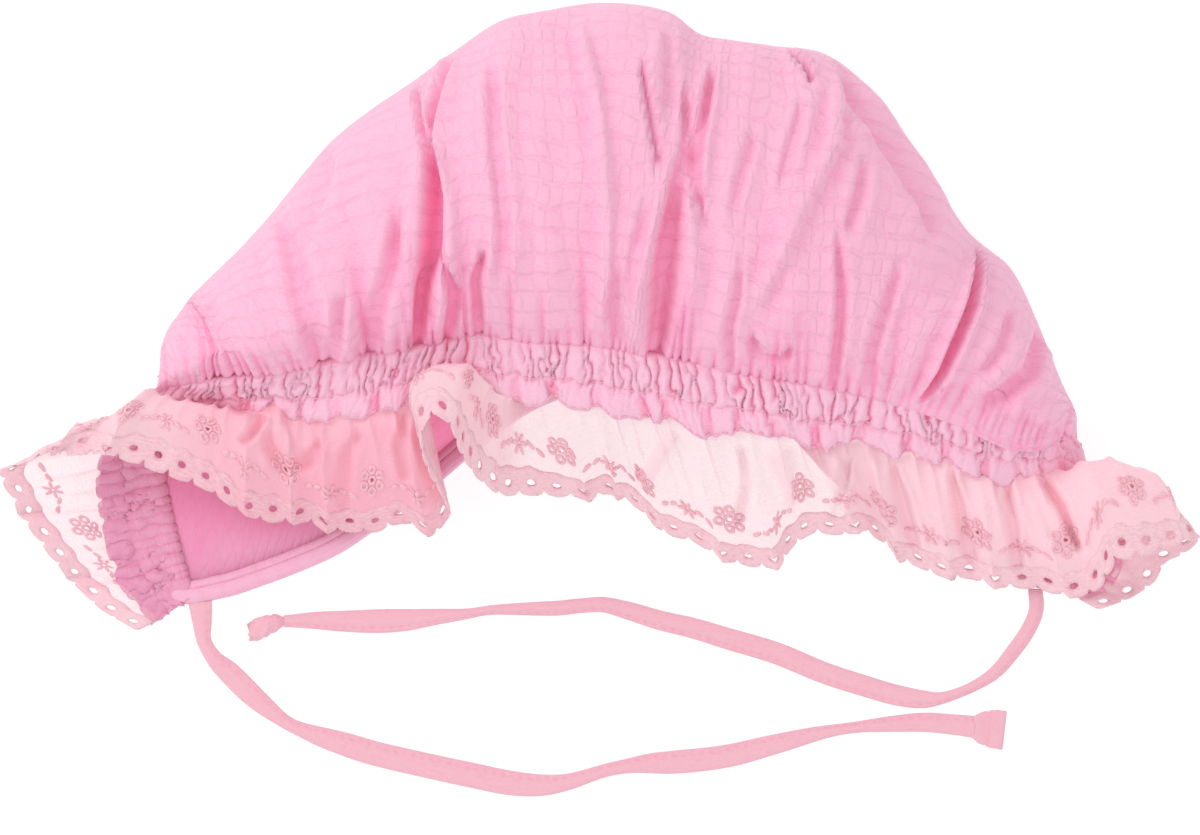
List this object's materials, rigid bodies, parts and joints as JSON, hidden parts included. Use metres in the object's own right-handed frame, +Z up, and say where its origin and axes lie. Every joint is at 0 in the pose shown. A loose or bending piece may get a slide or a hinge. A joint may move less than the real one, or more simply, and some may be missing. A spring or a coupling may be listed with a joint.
{
  "type": "baby sun hat",
  "caption": "Baby's soft gauze sun hat lying flat, with a puffy gathered crown, elastic casing, scalloped lace ruffle and two long ties.",
  "frame": {"origin": "middle of the hat on the surface it lies on, measured without the ties", "axes": "+Z up from the surface, through the lower layer to the upper layer, +X from the left corner to the right corner, -Y out of the face opening"},
  "size_m": [0.3128, 0.2053, 0.0613],
  "materials": {
    "gauze": "matte crinkled double gauze",
    "casing": "matte gathered double gauze",
    "hem": "matte stitched double gauze",
    "lace": "sheer voile with satin stitch",
    "tie": "matte folded double gauze"
  },
  "bodies": {
    "root": {"crown": "gauze", "elastic_casing": "casing", "nape_hem": "hem", "lace_ruffle": "lace", "left_tie": "tie", "left_tie_end": "tie", "right_tie": "tie", "right_tie_end": "tie"}
  },
  "joints": []
}
